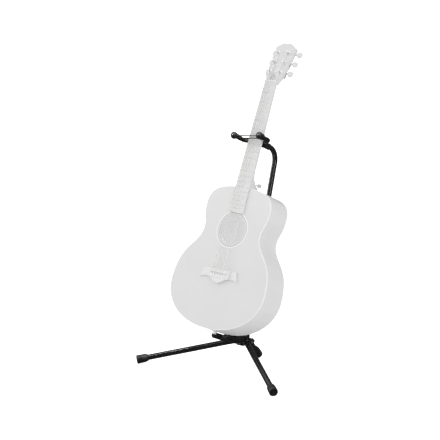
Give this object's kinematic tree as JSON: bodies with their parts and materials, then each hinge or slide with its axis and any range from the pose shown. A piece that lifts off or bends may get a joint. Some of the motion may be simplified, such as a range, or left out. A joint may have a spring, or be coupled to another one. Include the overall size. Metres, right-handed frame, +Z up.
{
  "type": "guitar on stand",
  "caption": "Steel-string acoustic guitar leaning in a folding black tubular tripod stand with a padded neck yoke, strap and two-armed cradle.",
  "frame": {"origin": "on the floor under the middle of the whole object's bounding box", "axes": "+Z up, the guitar's soundboard faces -Y, +X to the right when facing the guitar's back; seen from the front the treble side is at +X"},
  "size_m": [0.5814, 0.4618, 1.0538],
  "materials": {
    "body_wood": "satin",
    "inner_wood": "matte",
    "pale_plastic": "gloss",
    "grey_inlay": "satin",
    "bright_metal": "polished",
    "plated_steel": "zinc plated",
    "black_steel": "satin black powder coat",
    "black_rubber": "matte",
    "black_plastic": "moulded"
  },
  "bodies": {
    "stand": {"hub": "black_steel", "leg_rivets": "plated_steel", "lower_tube": "black_steel", "clamp_collar": "black_steel", "cradle_frame": "black_steel", "cradle_sleeves": "black_rubber", "cradle_bolt": "plated_steel"},
    "left_leg_unit": {"left_leg": "black_steel", "left_foot": "black_rubber"},
    "right_leg_unit": {"right_leg": "black_steel", "right_foot": "black_rubber"},
    "rear_leg_unit": {"rear_leg": "black_steel", "rear_foot": "black_rubber"},
    "upper_mast": {"upper_tube": "black_steel", "swivel_sleeve": "black_steel"},
    "knob": {"clamp_knob": "black_plastic"},
    "yoke": {"yoke_frame": "black_steel", "yoke_sleeve": "black_rubber", "yoke_balls": "black_rubber"},
    "strap": {"neck_strap": "black_rubber"},
    "guitar": {"soundboard": "body_wood", "back_plate": "body_wood", "sides": "body_wood", "linings": "inner_wood", "neck_block": "inner_wood", "end_block": "inner_wood", "top_braces": "inner_wood", "back_braces": "inner_wood", "bridge_plate": "inner_wood", "rosette": "grey_inlay", "binding": "pale_plastic", "neck": "body_wood", "truss_rod": "bright_metal", "fretboard": "body_wood", "frets": "bright_metal", "fret_markers": "pale_plastic", "nut": "pale_plastic", "head_plate": "body_wood", "truss_cover": "grey_inlay", "tuner_housings": "bright_metal", "tuner_bushings": "bright_metal", "bridge": "body_wood", "saddle": "pale_plastic", "bridge_pins": "pale_plastic", "strings": "bright_metal", "end_pin": "pale_plastic", "strap_button": "bright_metal"},
    "tuner_1": {"tuner_button_1": "pale_plastic"},
    "post_1": {"string_post_1": "bright_metal"},
    "tuner_2": {"tuner_button_2": "pale_plastic"},
    "post_2": {"string_post_2": "bright_metal"},
    "tuner_3": {"tuner_button_3": "pale_plastic"},
    "post_3": {"string_post_3": "bright_metal"},
    "tuner_4": {"tuner_button_4": "pale_plastic"},
    "post_4": {"string_post_4": "bright_metal"},
    "tuner_5": {"tuner_button_5": "pale_plastic"},
    "post_5": {"string_post_5": "bright_metal"},
    "tuner_6": {"tuner_button_6": "pale_plastic"},
    "post_6": {"string_post_6": "bright_metal"}
  },
  "joints": [
    {"name": "left_leg_fold", "type": "hinge", "parent": "stand", "child": "left_leg_unit", "pos_m": [-0.02348, -0.01428, 0.079], "axis": [0.6225, -0.7826, 0], "range_deg": [0, 75]},
    {"name": "right_leg_fold", "type": "hinge", "parent": "stand", "child": "right_leg_unit", "pos_m": [0.02348, -0.01428, 0.079], "axis": [0.6225, 0.7826, 0], "range_deg": [0, 75]},
    {"name": "rear_leg_fold", "type": "hinge", "parent": "stand", "child": "rear_leg_unit", "pos_m": [0, 0.0344, 0.067], "axis": [-1, 0, 0], "range_deg": [0, 40]},
    {"name": "mast_height", "type": "slide", "parent": "stand", "child": "upper_mast", "axis": [0, 0.279, 0.9603], "range_m": [-0.06, 0]},
    {"name": "clamp_turn", "type": "hinge", "parent": "stand", "child": "knob", "pos_m": [0, 0.12912, 0.42469], "axis": [0, 0.9603, -0.279], "range_deg": [0, 180]},
    {"name": "yoke_swivel", "type": "hinge", "parent": "upper_mast", "child": "yoke", "pos_m": [0, 0.10907, 0.72741], "axis": [0, -0.9178, 0.3971], "range_deg": [-20, 15]},
    {"name": "strap_open", "type": "hinge", "parent": "yoke", "child": "strap", "pos_m": [0.04981, 0.03226, 0.7654], "axis": [0, 0.9178, -0.3971], "range_deg": [0, 100]},
    {"name": "guitar_lift", "type": "slide", "parent": "stand", "child": "guitar", "axis": [0.0175, 0.3971, 0.9176], "range_m": [0, 0.04]},
    {"name": "tuner_turn_1", "type": "hinge", "parent": "guitar", "child": "tuner_1", "pos_m": [-0.00522, 0.17192, 0.95904], "axis": [0.9998, -0.0069, -0.016], "continuous": true},
    {"name": "post_turn_1", "type": "hinge", "parent": "guitar", "child": "post_1", "pos_m": [-0.00529, 0.14997, 0.96424], "axis": [0.0042, -0.7944, 0.6073], "continuous": true},
    {"name": "tuner_turn_2", "type": "hinge", "parent": "guitar", "child": "tuner_2", "pos_m": [-0.00459, 0.19439, 0.98842], "axis": [0.9998, -0.0069, -0.016], "continuous": true},
    {"name": "post_turn_2", "type": "hinge", "parent": "guitar", "child": "post_2", "pos_m": [-0.00466, 0.17244, 0.99363], "axis": [0.0042, -0.7944, 0.6073], "continuous": true},
    {"name": "tuner_turn_3", "type": "hinge", "parent": "guitar", "child": "tuner_3", "pos_m": [-0.00397, 0.21686, 1.01781], "axis": [0.9998, -0.0069, -0.016], "continuous": true},
    {"name": "post_turn_3", "type": "hinge", "parent": "guitar", "child": "post_3", "pos_m": [-0.00404, 0.19491, 1.02302], "axis": [0.0042, -0.7944, 0.6073], "continuous": true},
    {"name": "tuner_turn_4", "type": "hinge", "parent": "guitar", "child": "tuner_4", "pos_m": [0.03703, 0.21658, 1.01716], "axis": [0.9998, -0.0069, -0.016], "continuous": true},
    {"name": "post_turn_4", "type": "hinge", "parent": "guitar", "child": "post_4", "pos_m": [0.03696, 0.19463, 1.02236], "axis": [0.0042, -0.7944, 0.6073], "continuous": true},
    {"name": "tuner_turn_5", "type": "hinge", "parent": "guitar", "child": "tuner_5", "pos_m": [0.0364, 0.19411, 0.98777], "axis": [0.9998, -0.0069, -0.016], "continuous": true},
    {"name": "post_turn_5", "type": "hinge", "parent": "guitar", "child": "post_5", "pos_m": [0.03633, 0.17216, 0.99297], "axis": [0.0042, -0.7944, 0.6073], "continuous": true},
    {"name": "tuner_turn_6", "type": "hinge", "parent": "guitar", "child": "tuner_6", "pos_m": [0.03577, 0.17164, 0.95838], "axis": [0.9998, -0.0069, -0.016], "continuous": true},
    {"name": "post_turn_6", "type": "hinge", "parent": "guitar", "child": "post_6", "pos_m": [0.0357, 0.14968, 0.96358], "axis": [0.0042, -0.7944, 0.6073], "continuous": true}
  ],
  "couplings": [
    {"joint": "post_turn_1", "follows": "tuner_turn_1", "ratio": -0.0625},
    {"joint": "post_turn_2", "follows": "tuner_turn_2", "ratio": -0.0625},
    {"joint": "post_turn_3", "follows": "tuner_turn_3", "ratio": -0.0625},
    {"joint": "post_turn_4", "follows": "tuner_turn_4", "ratio": 0.0625},
    {"joint": "post_turn_5", "follows": "tuner_turn_5", "ratio": 0.0625},
    {"joint": "post_turn_6", "follows": "tuner_turn_6", "ratio": 0.0625}
  ]
}
